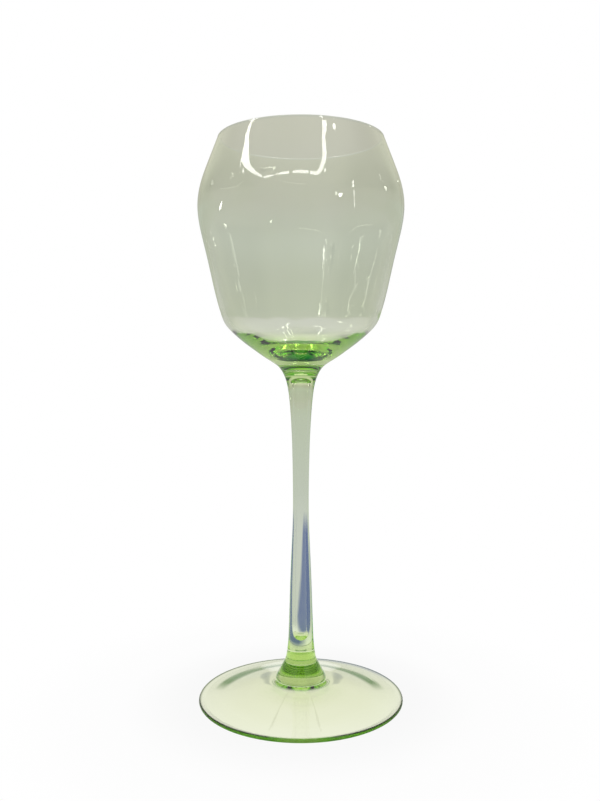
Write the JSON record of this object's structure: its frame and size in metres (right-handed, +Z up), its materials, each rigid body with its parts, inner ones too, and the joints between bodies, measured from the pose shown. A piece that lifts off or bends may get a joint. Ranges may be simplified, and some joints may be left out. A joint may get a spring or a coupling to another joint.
{
  "type": "wine glass",
  "caption": "Long-stemmed wine glass in pale green glass, with a narrow-mouthed angular bowl, a hollow drawn stem and a wide round foot.",
  "frame": {"origin": "centre of the foot's resting plane", "axes": "+Z up along the glass's axis of turning, from the foot to the rim; X and Y are any two level directions"},
  "size_m": [0.0808, 0.0808, 0.22],
  "materials": {
    "bowl_glass": "fire-polished, nearly colourless where the wall is thin and green where it is thick",
    "merese_glass": "fire-polished solid green glass",
    "stem_glass": "fire-polished pale green glass around an air bore",
    "foot_glass": "fire-polished pale green glass, deeper green at the edge"
  },
  "bodies": {
    "root": {"bowl": "bowl_glass", "upper_merese": "merese_glass", "stem": "stem_glass", "lower_merese": "merese_glass", "foot": "foot_glass"}
  },
  "joints": []
}
